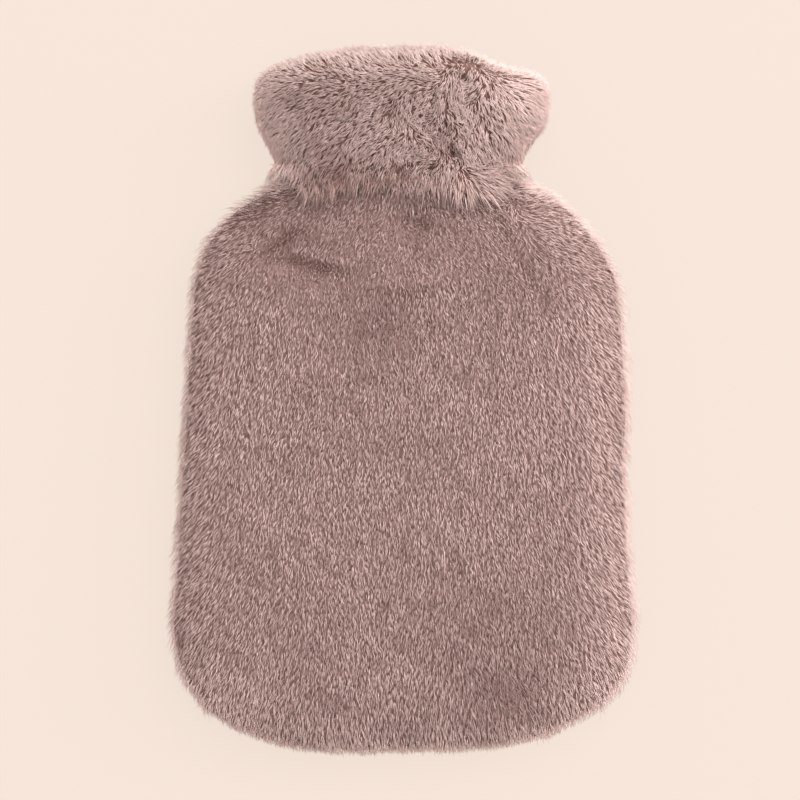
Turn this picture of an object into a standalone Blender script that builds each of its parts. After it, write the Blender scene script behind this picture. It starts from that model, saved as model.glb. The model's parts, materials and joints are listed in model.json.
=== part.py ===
"""Hot water bottle cover in long-pile plush, empty, lying on its back.

The cover is sewn from a front panel, a back panel and a roll-neck collar.
Metres, +Z up, neck towards +Y. The origin is on the surface under its middle.
"""

import math

import bmesh
import bpy
import numpy as np

# ---- plush cloth ----
WALL = 0.0085           # a panel: its backing and the pile that lies on it
LAYER = 0.0075          # one layer of the collar
SEAM_GAP = 0.0003       # clearance left between two pieces that are sewn together

# ---- height of the lying cover ----
SEAM_HEIGHT = 0.029     # the side seams lie half way up
FRONT_RISE = 0.0225     # the front's shoulders above the side seams
CROWN = 0.0085          # how much the front's middle stands above its shoulders
CROWN_REACH = 0.095     # the crown is full this far in from the outline
RIM_REACH = 0.038       # the body's edge is rounded this far in from its outline
ROUNDNESS = 2.2         # 2 is an ellipse, more is squarer

# ---- neck, where the panels end and the collar begins ----
NECK_END = 0.118        # the panels' upper edge along Y
NECK_RISE = 0.0188      # outer face of the neck above and below the side seams
NECK_REACH = 0.019
FRONT_SLOPE = (0.056, 0.112)    # the front comes down to the neck between these
BACK_SLOPE = (0.068, 0.095)     # the back lifts off the surface between these

# ---- bottom edge ----
CORNER_Y = -0.1492      # middle of the two rounded corners
BOTTOM_DROOP = 0.0235   # the bottom edge's middle below the corners
BOTTOM_SQUARENESS = 3.4
BOTTOM_TILT = 0.012     # the bottom edge rises this much to the right, per metre
DROOP_FADE = 0.090      # the rows are straight this far above the corners

# Outline of both panels, from the middle of the corners up to the neck.
# y, left edge, right edge
PANEL_EDGES = (
    (-0.1492, -0.0980, 0.0980),
    (-0.1370, -0.1066, 0.1080),
    (-0.1176, -0.1126, 0.1126),
    (-0.0784, -0.1114, 0.1110),
    (-0.0390, -0.1096, 0.1090),
    (0.0000, -0.1070, 0.1100),
    (0.0390, -0.1046, 0.1076),
    (0.0590, -0.1028, 0.1048),
    (0.0740, -0.0980, 0.0964),
    (0.0882, -0.0880, 0.0854),
    (0.0960, -0.0797, 0.0776),
    (0.1026, -0.0672, 0.0659),
    (0.1064, -0.0554, 0.0532),
    (0.1100, -0.0522, 0.0496),
    (0.1180, -0.0512, 0.0486),
)

# Soft troughs (negative) and ridges in the front's pile.
# x, y, half length, half width, degrees from +X, height
FRONT_FOLDS = (
    (-0.057, 0.0760, 0.016, 0.0070, -18, -0.0024),
    (-0.041, 0.0655, 0.020, 0.0070, -22, -0.0028),
    (0.010, 0.0850, 0.014, 0.0060, -20, -0.0022),
    (0.002, 0.0570, 0.024, 0.0100, 4, 0.0018),
    (-0.005, 0.0380, 0.012, 0.0080, 80, -0.0018),
    (0.062, 0.0620, 0.026, 0.0120, 32, -0.0018),
    (-0.070, -0.0200, 0.045, 0.0180, 84, -0.0012),
    (0.052, -0.1280, 0.024, 0.0140, 12, -0.0020),
    (-0.060, -0.1200, 0.030, 0.0150, -24, -0.0016),
    (0.040, -0.0300, 0.050, 0.0220, 70, 0.0012),
)

# ---- collar ----
LAYER_GAP = 0.0027      # between the collar's two layers
COLLAR_REACH = 0.0290   # round ends of its flattened ring, outer face
END_SHARE = 0.41        # the part of the ring's half width that a round end takes
HEM_FLARE = 0.0030      # the hem stands out over the front's shoulders

# Height along Y of the fold at the top and of the outer layer's hem, from the left side
# to the right.
# across, fold, front hem, back hem
COLLAR_ENDS = (
    (-1.00, 0.1622, 0.1104, 0.1104),
    (-0.85, 0.1656, 0.1086, 0.1083),
    (-0.62, 0.1686, 0.0962, 0.1005),
    (-0.38, 0.1724, 0.0982, 0.0998),
    (0.00, 0.1720, 0.1000, 0.1000),
    (0.20, 0.1727, 0.1004, 0.1000),
    (0.42, 0.1712, 0.0960, 0.0998),
    (0.65, 0.1676, 0.0965, 0.1005),
    (0.85, 0.1652, 0.1083, 0.1083),
    (1.00, 0.1616, 0.1104, 0.1104),
)

# Outer face of the collar.
# y, left edge, right edge
COLLAR_EDGES = (
    (0.0950, -0.0725, 0.0700),
    (0.1050, -0.0665, 0.0640),
    (0.1150, -0.0622, 0.0596),
    (0.1240, -0.0645, 0.0622),
    (0.1360, -0.0700, 0.0684),
    (0.1480, -0.0715, 0.0696),
    (0.1600, -0.0700, 0.0672),
)

# Bulges of the collar's outer layer in front.
# x, y, half length, half width, degrees from +X, height
COLLAR_FOLDS = (
    (0.022, 0.1360, 0.022, 0.0090, 62, -0.0022),
    (-0.036, 0.1400, 0.026, 0.0160, 48, 0.0018),
    (0.052, 0.1300, 0.022, 0.0130, -50, 0.0016),
    (0.044, 0.1135, 0.013, 0.0050, 22, -0.0020),
    (-0.012, 0.1140, 0.026, 0.0055, 4, -0.0018),
)

# ---- mesh steps ----
FRONT_STEPS = (34, 46)      # across, along
BACK_STEPS = (22, 36)
COLLAR_END_STEPS = 12       # round each end of the ring
COLLAR_SPAN_STEPS = 10      # across its front and its back
COLLAR_ROWS = (6, 6, 10)    # up the inner layer, round the fold, down the outer layer
EDGE_CROWDING = 0.5         # smaller crowds the rows at a rim

PLUSH_COLOR = (0.36, 0.235, 0.215)
PLUSH_ROUGHNESS = 0.95


def smooth_step(low, high, value):
    t = np.clip((value - low) / (high - low), 0.0, 1.0)
    return t * t * (3.0 - 2.0 * t)


def crowded(fraction):
    """0..1 to 0..1, with small steps next to 0."""
    return (1.0 + EDGE_CROWDING) * fraction ** 2 / (fraction + EDGE_CROWDING)


def read_rows(rows, place):
    """The later columns at a place in the first one, on smooth curves through a table's rows."""
    table = np.array(rows)
    slopes = np.gradient(table[:, 1:], table[:, 0], axis=0)
    place = float(np.clip(place, table[0, 0], table[-1, 0]))
    k = int(np.clip(np.searchsorted(table[:, 0], place) - 1, 0, len(table) - 2))
    span = table[k + 1, 0] - table[k, 0]
    t = (place - table[k, 0]) / span
    rise = t * t * (3.0 - 2.0 * t)
    start = t * (1.0 - t) ** 2 * span
    end = -t * t * (1.0 - t) * span
    return table[k, 1:] * (1.0 - rise) + table[k + 1, 1:] * rise + slopes[k] * start + slopes[k + 1] * end


def folds_at(folds, x, y):
    """Height that the soft troughs and ridges of a table add at a place."""
    height = 0.0
    for fold_x, fold_y, half_length, half_width, degrees, size in folds:
        turn = math.radians(degrees)
        along = (x - fold_x) * math.cos(turn) + (y - fold_y) * math.sin(turn)
        across = (y - fold_y) * math.cos(turn) - (x - fold_x) * math.sin(turn)
        height += size * math.exp(-(along / half_length) ** 2 - (across / half_width) ** 2)
    return height


def panel_place(across, along):
    """Place of a panel point seen from above: across -1..1, along 0..1 from the bottom edge."""
    side_y = CORNER_Y + (NECK_END - CORNER_Y) * along
    left, right = read_rows(PANEL_EDGES, side_y)
    x = 0.5 * (left + right) + 0.5 * (right - left) * across
    fade = 1.0 - smooth_step(0.0, DROOP_FADE, side_y - CORNER_Y)
    droop = BOTTOM_DROOP * (1.0 - abs(across) ** BOTTOM_SQUARENESS) - BOTTOM_TILT * x
    return x, side_y - droop * fade


def panel_outline(steps=160):
    """The sewn edge: down the left side, along the bottom and up the right side."""
    left = [panel_place(-1.0, 1.0 - k / steps) for k in range(steps)]
    bottom = [panel_place(-1.0 + 2.0 * k / steps, 0.0) for k in range(steps)]
    right = [panel_place(1.0, k / steps) for k in range(steps + 1)]
    return np.array(left + bottom + right)


def distance_to(outline, x, y):
    start = outline[:-1]
    step = outline[1:] - start
    offset = np.array((x, y)) - start
    t = np.clip((offset * step).sum(axis=1) / (step * step).sum(axis=1), 0.0, 1.0)
    return float(np.linalg.norm(offset - step * t[:, None], axis=1).min())


def rim(distance, reach):
    """Rise of a rounded edge, 0 on the outline and 1 from its reach inwards."""
    t = min(distance / reach, 1.0)
    return (1.0 - (1.0 - t) ** ROUNDNESS) ** (1.0 / ROUNDNESS)


def front_height(outline, x, y):
    at_neck = smooth_step(*FRONT_SLOPE, y)
    rise = FRONT_RISE + (NECK_RISE - FRONT_RISE) * at_neck
    reach = RIM_REACH + (NECK_REACH - RIM_REACH) * at_neck
    distance = distance_to(outline, x, y)
    crown = CROWN * math.sin(0.5 * math.pi * min(distance / CROWN_REACH, 1.0)) * (1.0 - at_neck)
    folds = folds_at(FRONT_FOLDS, x, y) * smooth_step(0.0, 0.5 * RIM_REACH, distance)
    return SEAM_HEIGHT + rise * rim(distance, reach) + crown + folds


def back_height(outline, x, y):
    at_neck = smooth_step(*BACK_SLOPE, y)
    rise = SEAM_HEIGHT + (NECK_RISE - SEAM_HEIGHT) * at_neck
    reach = RIM_REACH + (NECK_REACH - RIM_REACH) * at_neck
    return SEAM_HEIGHT - rise * rim(distance_to(outline, x, y), reach)


def new_object(name, mesh_builder, material, collection):
    mesh = bpy.data.meshes.new(name)
    mesh_builder.to_mesh(mesh)
    mesh_builder.free()
    mesh.shade_smooth()
    mesh.materials.append(material)
    piece = bpy.data.objects.new(name, mesh)
    collection.objects.link(piece)
    return piece


def apply_wall(piece, thickness, offset):
    """Give an open surface its thickness: offset -1 grows inwards, 0 both ways."""
    wall = piece.modifiers.new("wall", "SOLIDIFY")
    wall.thickness = thickness
    wall.offset = offset
    bpy.context.view_layer.update()
    evaluated = piece.evaluated_get(bpy.context.evaluated_depsgraph_get())
    walled = bpy.data.meshes.new_from_object(evaluated)
    piece.modifiers.clear()
    piece.data = walled


def press_flat(piece, axis, low=-math.inf, high=math.inf):
    """Push points that pass a plane back onto it."""
    for vertex in piece.data.vertices:
        vertex.co[axis] = min(max(vertex.co[axis], low), high)


def make_panel(name, steps, height_at, faces_up, material, collection):
    """One panel: a grid laid into the outline, lifted to its face and given its wall."""
    across_steps, along_steps = steps
    outline = panel_outline()
    builder = bmesh.new()
    bmesh.ops.create_grid(builder, x_segments=across_steps, y_segments=along_steps, size=1.0)
    for vertex in builder.verts:
        u, v = vertex.co.x, 0.5 * (vertex.co.y + 1.0)
        across = math.copysign(1.0 - crowded(1.0 - abs(u)), u)
        x, y = panel_place(across, crowded(v))
        vertex.co = (x, y, height_at(outline, x, y))
    if not faces_up:
        bmesh.ops.reverse_faces(builder, faces=builder.faces)
    panel = new_object(name, builder, material, collection)
    apply_wall(panel, WALL, -1.0)
    press_flat(panel, 1, high=NECK_END - 0.5 * SEAM_GAP)
    if faces_up:
        press_flat(panel, 2, low=SEAM_HEIGHT + 0.5 * SEAM_GAP)
    else:
        press_flat(panel, 2, low=0.0, high=SEAM_HEIGHT - 0.5 * SEAM_GAP)
    return panel


def ring_places():
    """Places round a flattened ring: how far out its straight spans reach, and the angle."""
    half = 0.5 * math.pi
    places = []
    for k in range(COLLAR_END_STEPS):
        places.append((1.0, -half + math.pi * k / COLLAR_END_STEPS))
    for k in range(COLLAR_SPAN_STEPS):
        places.append((1.0 - 2.0 * k / COLLAR_SPAN_STEPS, half))
    for k in range(COLLAR_END_STEPS):
        places.append((-1.0, half + math.pi * k / COLLAR_END_STEPS))
    for k in range(COLLAR_SPAN_STEPS):
        places.append((-1.0 + 2.0 * k / COLLAR_SPAN_STEPS, 3.0 * half))
    return places


def collar_path(span, angle):
    """Points up the inner layer, round the fold and down the outer layer: y and 0..1 outwards."""
    step = LAYER + LAYER_GAP
    sideways = span * (1.0 - END_SHARE) + math.cos(angle) * END_SHARE
    fold_y, front_hem, back_hem = read_rows(COLLAR_ENDS, sideways)
    spring_y = fold_y - 0.5 * (step + LAYER)
    hem_y = front_hem if math.sin(angle) > 0.0 else back_hem
    inner_rows, fold_rows, outer_rows = COLLAR_ROWS
    join_y = NECK_END + 0.5 * SEAM_GAP
    path = [(join_y + (spring_y - join_y) * k / inner_rows, 0.0) for k in range(inner_rows)]
    for k in range(fold_rows):
        turn = math.pi * k / fold_rows
        path.append((spring_y + 0.5 * step * math.sin(turn), 0.5 - 0.5 * math.cos(turn)))
    path += [(spring_y + (hem_y - spring_y) * k / outer_rows, 1.0) for k in range(outer_rows + 1)]
    return path


def collar_point(span, angle, y, outwards):
    inset = 0.5 * LAYER + (1.0 - outwards) * (LAYER + LAYER_GAP)
    left, right = read_rows(COLLAR_EDGES, y)
    reach = COLLAR_REACH - inset
    middle = 0.5 * (left + right)
    half_width = 0.5 * (right - left) - inset
    x = middle + span * (half_width - reach) + reach * math.cos(angle)
    rise = SEAM_HEIGHT - inset
    z = SEAM_HEIGHT + rise * math.sin(angle)
    if math.sin(angle) > 0.0:
        flare = HEM_FLARE * (1.0 - smooth_step(COLLAR_EDGES[0][0], NECK_END, y))
        bulge = folds_at(COLLAR_FOLDS, x, y)
        z += outwards * (flare + bulge) * math.sin(angle)
    return x, y, z


def make_collar(material, collection):
    """The roll neck: one strip round the neck, up, over and down again, with its wall."""
    places = ring_places()
    builder = bmesh.new()
    rows = sum(COLLAR_ROWS)
    bmesh.ops.create_grid(builder, x_segments=len(places), y_segments=rows, size=1.0)
    for vertex in builder.verts:
        place = round(0.5 * (vertex.co.x + 1.0) * len(places)) % len(places)
        row = round(0.5 * (vertex.co.y + 1.0) * rows)
        span, angle = places[place]
        y, outwards = collar_path(span, angle)[row]
        vertex.co = collar_point(span, angle, y, outwards)
    bmesh.ops.remove_doubles(builder, verts=builder.verts, dist=0.00001)
    bmesh.ops.recalc_face_normals(builder, faces=builder.faces)
    collar = new_object("collar", builder, material, collection)
    join_y = NECK_END + 0.5 * SEAM_GAP
    neck_seam = collar.vertex_groups.new(name="neck seam")
    on_seam = [vertex.index for vertex in collar.data.vertices if abs(vertex.co.y - join_y) < 1e-6]
    neck_seam.add(on_seam, 1.0, "REPLACE")
    apply_wall(collar, LAYER, 0.0)
    for vertex in collar.data.vertices:
        if vertex.groups:
            vertex.co.y = join_y
    press_flat(collar, 2, low=0.0)
    return collar


def plush_material(name, color):
    material = bpy.data.materials.new(name)
    material.use_nodes = True
    shader = material.node_tree.nodes["Principled BSDF"]
    shader.inputs["Base Color"].default_value = (*color, 1.0)
    shader.inputs["Roughness"].default_value = PLUSH_ROUGHNESS
    shader.inputs["Metallic"].default_value = 0.0
    return material


for leftover in list(bpy.data.objects):
    bpy.data.objects.remove(leftover)

cover = bpy.data.collections.new("hot_water_bottle_cover")
bpy.context.scene.collection.children.link(cover)
front_plush, back_plush, collar_plush = (
    plush_material(name, PLUSH_COLOR) for name in ("front plush", "back plush", "collar plush")
)
make_panel("front_panel", FRONT_STEPS, front_height, True, front_plush, cover)
make_panel("back_panel", BACK_STEPS, back_height, False, back_plush, cover)
make_collar(collar_plush, cover)
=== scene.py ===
"""Plush hot water bottle cover: its cloth, its combed pile, and the studio it lies in.

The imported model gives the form. Each of its three pieces is dressed with a ground cloth on the
same folds and with a pile of tapered locks, which are modelled once and set by arrays.
"""

import json
import math

import bmesh
import bpy
import numpy as np
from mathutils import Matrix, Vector
from mathutils.kdtree import KDTree

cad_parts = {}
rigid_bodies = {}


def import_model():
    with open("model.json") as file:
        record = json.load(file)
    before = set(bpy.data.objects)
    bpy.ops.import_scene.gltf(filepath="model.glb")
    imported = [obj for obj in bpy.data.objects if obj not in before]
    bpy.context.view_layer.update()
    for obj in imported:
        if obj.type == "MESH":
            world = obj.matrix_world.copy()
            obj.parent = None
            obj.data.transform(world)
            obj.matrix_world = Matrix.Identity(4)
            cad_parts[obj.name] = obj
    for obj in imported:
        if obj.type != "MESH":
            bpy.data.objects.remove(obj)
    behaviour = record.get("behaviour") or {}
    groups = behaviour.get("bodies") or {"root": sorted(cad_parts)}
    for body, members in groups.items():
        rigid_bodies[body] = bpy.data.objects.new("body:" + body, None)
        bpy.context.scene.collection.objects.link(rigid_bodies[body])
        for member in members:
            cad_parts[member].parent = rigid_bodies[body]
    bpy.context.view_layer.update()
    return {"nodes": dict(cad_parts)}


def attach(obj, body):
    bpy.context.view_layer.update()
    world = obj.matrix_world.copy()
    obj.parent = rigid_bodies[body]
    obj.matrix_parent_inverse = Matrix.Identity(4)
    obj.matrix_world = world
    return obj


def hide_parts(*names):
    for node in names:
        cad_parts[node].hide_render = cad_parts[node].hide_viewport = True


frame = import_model()

# ---------------------------------------------------------------- the picture's frame
PIXEL = 0.00049  # what one pixel of the 800 pixel picture covers at the seam's height
PICTURE_SIDE = 800
CENTRE_PIXEL = (401, 400)  # where the cover's origin lies in the picture
SEAM_HEIGHT = 0.029
LENS = 100.0
SENSOR = 36.0

# ---------------------------------------------------------------- colours and light
# A lock from its root to its tip, where its tone is 0 and where it is 1.
DARK_LOCK = [(0.0, (0.090, 0.032, 0.022)), (0.45, (0.262, 0.157, 0.138)), (1.0, (0.338, 0.217, 0.193))]
PALE_LOCK = [(0.0, (0.50, 0.37, 0.345)), (0.45, (0.785, 0.564, 0.518)), (1.0, (0.95, 0.745, 0.704))]
BODY_CLOTH = ((0.150, 0.086, 0.077), (0.338, 0.220, 0.202))  # between dark and pale
COLLAR_CLOTH = ((0.130, 0.062, 0.050), (0.29, 0.170, 0.144))
TROUGH_SHADE_CLOTH = (0.150, 0.078, 0.064)  # painted shade: the ground cloth's colour in the bottom of a trough
STREAKS = (900.0, 260.0, 900.0)  # the cloth's streaks in a metre: across, along, deep
MIX_FIRST, MIX_SECOND, MIX_RESULT = 6, 7, 2  # the colour sockets of a Mix node
PAPER = (0.0605, 0.0512, 0.0455)
PAPER_GLOW = 13.6
FLOOR_SIDE = 6
SKY = (1, 0.985, 0.97, 1)
SKY_STRENGTH = 0.95
LAMPS = (
    # name, place, side, power
    ("overhead", (0.5, 0.6, 2.0), 1.6, 44.0),
    ("right", (2.6, 0.8, 1.8), 1.2, 44.0),
)

# ---------------------------------------------------------------- cloth
PANEL_SINK = 0.0038  # the ground cloth lies this far under the tips of the pile
COLLAR_SINK = 0.0034
HEM_LIFT = 0.0040  # the collar's cloth ends this far above the tips of its hem
HEM_TOP = 0.125  # the hem's places lie below this height up the cover
FOLD_SINK = 0.0030  # how much lower the collar's cloth lies at its fold, under the long fringe
CORNER_SINK = 0.0034  # how much lower the cloth lies at the right end of its fold
RIGHT_SPREAD = 0.0020  # the right side bulges this much past its solid, twice that at the shoulder
CUT_EDGE = math.radians(58)  # a sharper edge is a cut edge, and ends the furry side
UPRIGHT = 0.35  # a normal that rises less than this lies on the outline
MERGE_GAP = 0.000001
CLOTH_SMOOTHNESS = 0.6  # how round the cloth is between the corners of its solid
FLOOR_GAP = 0.0005  # no lock lies lower than this over the floor
CLOTH_STEP = 0.0010  # the ground cloth's troughs are this much wider than the pile's

# ---------------------------------------------------------------- pile
FRONT_LOCKS = 100000
BACK_LOCKS = 16000
COLLAR_LOCKS = 34000
TUFT_SHARE = 0.25  # tufts for each lock
TUFT_SQUEEZE = 0.5  # how much closer places count along the cover, so that tufts are long
TUFT_DRAW = 0.36  # how far the locks of a tuft draw together at their tips
LOOSE_DRAW = 0.8  # how much of that draw is missing where the tufts hang loose
LOCK_BEND = 0.5  # where along its length a lock is widest and bends
LOCK_THICKNESS = 0.6  # a lock's thickness for its width
ROOT_DEPTH = 0.0009  # how deep a lock is rooted in its cloth
FIRST_REACH = 0.55  # a lock starts off along the comb at this share of its mean slope
FIRST_RISE = 1.6  # and away from the cloth at this one, so that it bends over
LUMP = 0.00030  # the pile's unevenness over one or two centimetres
LUMP_LENGTH = 0.012
STANDING_REACH = 0.75  # the share of its reach that a lock keeps where the comb turns back
STANDING_RISE = 1.2  # and how much of its rise it has there
STANDING_TURN = 6  # how much more the locks' directions differ there
RUFFLED_TURN = 2.5  # and where the pile is ruffled
CREASE_DEPTH = 0.0025  # a trough is full at this depth
CREASE_REACH = 0.3  # how much shorter the locks are that lie in a full trough
FOLD_LIGHT_AND_SHADE = 70  # painted light and shade: how much a lock pales for each metre up a ridge, and darkens for each metre down a trough
TONED_HEIGHTS = (-0.0014, 0.0012)  # past these heights of a fold the painted light and shade stay as they are
CREASE_SHADE = 0.35  # how much of its pale end a lock lacks in the bottom of a trough
SOFT_ROOT = 0.50  # how much of its dark end a lock lacks where the pile looks soft
SOFT_TONE = 0.6  # how much of the difference between locks is missing there
LOCK_SPAN = (0.02, 0.98)  # how much of the map's height a plain lock takes, root to tip
TONE_WIDTH = 0.012  # how much of the map's width a lock takes
TONE_LIMITS = (0.02, 0.96)  # where a lock's middle may lie across the map
SPECKS = (1.2, 2.0)  # how high a field of waves stands where a dark speck starts and is full
MOUTH_SHARE = 0.3  # how dense the collar's pile is where it doesn't show from above

# How much the pile differs from tuft to tuft, and from lock to lock within a tuft.
UNEVEN_TURN = (math.radians(7), math.radians(7))
UNEVEN_REACH = (0.10, 0.12)
UNEVEN_RISE = (0.08, 0.06)
UNEVEN_TONE = (0.085, 0.065)
UNEVEN_WIDTH = (0.7, 1.3)  # the least and the most, lock by lock

# ---------------------------------------------------------------- parts of the cover
# Where each part starts and where it is full, up the cover or across it, in metres.
SHOULDER = (0.040, 0.090)
FULL_SHOULDER = (0.050, 0.080)
NECK = (0.090, 0.104)
MIDDLE_NECK = (0.078, 0.098)
BESIDE_NECK_UP = (0.094, 0.106)
BESIDE_NECK_OUT = (0.038, 0.054)
FOOT = (-0.135, -0.155)
UNDER_FOOT = (-0.11, -0.145)
RIGHT_HALF = (0, 0.03)
RIGHT_SIDE = (0.03, 0.09)
LIT_SIDE = (-0.02, 0.09)  # the side that faces the lamp
LIT_END = (0.03, 0.08)  # up here the light on the right side fades
LIT_LOSS = 0.6  # by this share
UNDER_COLLAR = (0.108, 0.114)
BAND = (0.030, 0.006)  # the band of painted light along the outline, by how far inside it a place lies
COLLAR_END = (0.045, 0.068)
COLLAR_END_UP = (0.126, 0.138)
CORNER_UP = (0.140, 0.158)
FOLD_TOP = (0.150, 0.170)
LIFTED_HEM = (0.128, 0.104)
LOW_COLLAR = (0.130, 0.106)
HIGH_COLLAR = (0.136, 0.156)
LEFT_FRINGE = (0.004, 0.030)  # to the left of the middle, as the next
LEFT_COLLAR = (0.025, 0.070)
FRINGE = (0, 0.016)  # above the height where it starts
HEM = (0.011, 0.001)  # by the distance from the hem's edge
FLAP_ACROSS = (0.024, 0.032)
FLAP_TOP = (0.1150, 0.1110)

# The same by how much a normal rises: 1 straight up, 0 level.
RIM_SLOPE = (0.75, 0.10)
FACING_UP = (0.0, 0.4)
LAID_FLAT = (0.2, 0.7)
SEEN_FROM_ABOVE = (-0.3, 0.2)

# Soft middles: the place across the cover, and the half width.
NECK_MIDDLE = (0.004, 0.030)
HEM_MIDDLE = (0.014, 0.020)
FRINGE_CORNER = (0.047, 0.009)
CORNER_MIDDLE = (0.049, 0.013)

# How soft the pile looks in some parts: 0 where each lock shows, 1 where they blend.
SOFT_NECK = 0.8
SOFT_RIM = 0.5
SOFT_COLLAR = 0.3
SOFT_LEFT = 0.3  # this much softer at the left of the collar and along its hem
SOFT_COLLAR_RIM = 0.7
SOFT_FRINGE = 0.9

# ---------------------------------------------------------------- comb of the body
# Degrees to the right from straight down the cover.
MIDDLE_COMB = 3
SIDE_COMB = 50  # more for each metre to the side
EDGE_COMB = 3  # more at the edge alone, which lies about here:
EDGE_PLACE = 0.1
FAN_TOP = 0.150  # the height from which the pile of the shoulders fans out
FAN_NEAREST = 0.012
FAN_SHARE = 0.75
BESIDE_NECK_COMB = 104
COMB_WAVER = 5
UNDER_TURN = -0.25  # how far the pile of the foot turns under, towards the seam
PARTING_COMB = 0.4  # how much a parting turns the comb away from it
COLLAR_PARTING_COMB = 0.3

# ---------------------------------------------------------------- comb of the collar
STRAY = 10  # degrees that tufts point astray
RUFFLED_STRAY = 50
FRINGE_LEAN = 0.35  # how far the fringe leans out from the mouth
FRINGE_WAVER = 0.0025  # how uneven the line is where it starts
FLAP_START = (0.0280, 0.1110)  # the inner end of the crease over the turned corner
FLAP_MIDDLE = 0.04  # its upper edge has the height of FLAP_TOP here
FLAP_SLOPE = 0.15  # and rises by this much to the right

# ---------------------------------------------------------------- tables of the pile
COAT_COLUMNS = ("reach", "rise", "droop", "width", "tone")

# What the pile has all over the body, and what each area adds to that.
BODY_COAT = {
    # area: (reach, rise, droop, width, tone)
    "all over": (0.0038, 0.0046, 0, 0.00045, 0.50),
    # painted light: the rim and the band along the outline have paler tones, more on the side that
    # faces the lamp
    "rim": (0.0038, 0.0006, 0, 0, 0.14),
    "rim of the foot": (-0.0016, -0.0014, 0, 0, 0),
    "rim of the foot's right half": (-0.0010, 0, 0, 0, 0),
    "rim's waves": (0, 0.0008, 0, 0, 0),
    "right rim": (0, 0.0008, 0, 0, 0),
    "lit rim": (0, 0, 0, 0, 0.26),
    "band": (0, 0, 0, 0, 0.14),
    "lit band": (0, 0, 0, 0, 0.20),
    # painted light: beside the neck the pile is paler, where the collar shades it
    "beside the neck": (0.0038, 0.0014, 0, 0, 0.32),
    "neck": (0, 0.0016, 0, 0, 0),
    "ruffled": (0.0040, 0, 0, 0, 0),
    "parted": (-0.0016, -0.0016, 0, 0, -0.30),
    "clouds": (0, 0, 0, 0, 0.035),
    "mottle": (0, 0, 0, 0, 0.09),
    "specks": (0, 0, 0, 0, -0.34),
}
COLLAR_COAT = {
    # area: (reach, rise, droop, width, tone)
    "all over": (0.0060, 0.0040, 0, 0.00047, 0.455),
    # painted highlight: the fringe's paler tone, for light through its tips
    "fringe": (0.0006, 0.0004, 0, -0.00007, 0.50),
    "left of the fringe": (-0.0028, 0, 0, 0, 0),
    "corner of the fringe": (-0.0010, 0, 0, 0, 0),
    "turned layer": (-0.0008, 0.0006, 0, 0, 0),
    "hem": (0.0036, 0, 0.0066, -0.00006, 0),
    "middle of the hem": (0.0030, 0, 0.0044, 0, -0.05),
    # painted light: the paler tones of the turned corner and of the rim
    "flap": (0.0024, 0, 0, 0, 0.06),
    "rim": (0, 0, 0, 0, 0.40),
    "parted": (-0.0008, -0.0012, 0, 0, -0.26),
    "clouds": (0, 0, 0, 0, 0.04),
    "mottle": (0, 0, 0, 0, 0.05),
}

# Soft troughs and ridges of the body beside those of the solids: middle, half sizes along and
# across, degrees of its run from the cover's width, and height.
BODY_FOLDS = (
    # x, y, half length, half width, degrees, height
    (-0.0566, 0.0772, 0.0105, 0.0016, 33, -0.0026),
    (-0.0404, 0.0646, 0.0155, 0.0017, -13, -0.0032),
    (-0.0350, 0.0672, 0.0120, 0.0032, -15, 0.0024),
    (-0.0078, 0.0608, 0.0060, 0.0026, -35, 0.0014),
    (0.0054, 0.0565, 0.0080, 0.0028, 6, 0.0016),
    (0.0166, 0.0636, 0.0070, 0.0028, 40, 0.0010),
    (0.0029, 0.0504, 0.0120, 0.0030, 4, -0.0014),
    (0.0096, 0.0850, 0.0095, 0.0015, -13, -0.0025),
    (0.0170, 0.0865, 0.0060, 0.0026, -10, 0.0016),
    (0.0509, 0.0968, 0.0040, 0.0024, 40, -0.0024),
    (0.0381, 0.0932, 0.0095, 0.0014, 2, -0.0026),
    (0.0500, 0.0840, 0.0070, 0.0016, -52, -0.0016),
    (0.0645, 0.0548, 0.0140, 0.0024, -58, -0.0009),
    (-0.0685, 0.0939, 0.0120, 0.0050, 20, -0.0016),
    (0.0120, 0.0985, 0.0260, 0.0060, 0, 0.0072),
    (-0.0310, 0.0980, 0.0240, 0.0056, -4, 0.0048),
    (-0.0200, 0.0995, 0.0080, 0.0050, 0, 0.0022),
)
COLLAR_FOLDS = (
    # x, y, half length, half width, degrees, height
    (0.0415, 0.1100, 0.0098, 0.0016, 14, -0.0034),
    (-0.0331, 0.1090, 0.0150, 0.0030, 24, -0.0006),
    (0.0389, 0.1012, 0.0100, 0.0050, -30, 0.0010),
    (0.0291, 0.1536, 0.0045, 0.0012, -25, -0.0024),
    (0.0358, 0.1441, 0.0020, 0.0010, 85, -0.0030),
    (0.0222, 0.1307, 0.0028, 0.0014, -50, -0.0038),
    (0.0258, 0.1178, 0.0044, 0.0018, -45, -0.0045),
    (0.0429, 0.1226, 0.0030, 0.0012, -70, -0.0034),
    (0.0038, 0.1100, 0.0026, 0.0018, 0, -0.0028),
    (0.0148, 0.1107, 0.0024, 0.0012, 60, -0.0034),
    (-0.0024, 0.1090, 0.0050, 0.0014, 0, -0.0014),
    (-0.0038, 0.1412, 0.0024, 0.0012, -40, -0.0030),
    (-0.0138, 0.1100, 0.0024, 0.0012, 70, -0.0026),
    (0.0406, 0.1326, 0.0018, 0.0010, -60, -0.0026),
    (0.0462, 0.1288, 0.0018, 0.0010, -60, -0.0026),
)

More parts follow.
